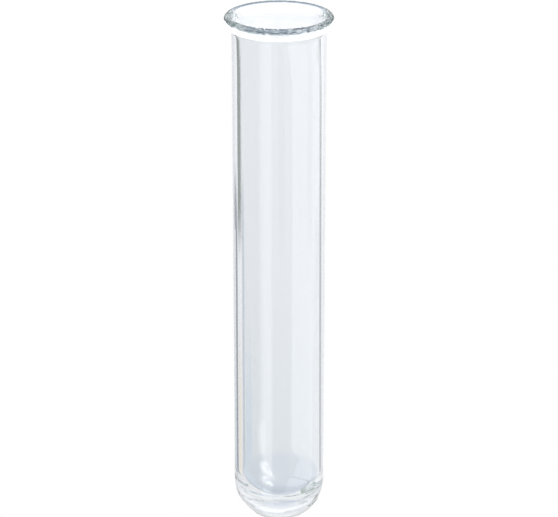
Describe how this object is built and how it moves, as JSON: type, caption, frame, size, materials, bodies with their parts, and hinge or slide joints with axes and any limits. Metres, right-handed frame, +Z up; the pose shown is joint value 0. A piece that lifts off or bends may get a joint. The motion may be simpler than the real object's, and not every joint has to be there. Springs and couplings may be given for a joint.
{
  "type": "test tube",
  "caption": "Clear glass test tube: straight round barrel, hemispherical bottom and flared, beaded rim, open at the top.",
  "frame": {"origin": "the lowest point of the round bottom, on the tube's axis", "axes": "+Z up the tube's axis, from the round bottom to the open rim; the tube is round, so X and Y are free"},
  "size_m": [0.0296, 0.0296, 0.15],
  "materials": {
    "clear_glass": "clear, smooth borosilicate glass, fire-polished at the lip"
  },
  "bodies": {
    "root": {"rim": "clear_glass", "barrel": "clear_glass", "round_bottom": "clear_glass"}
  },
  "joints": []
}
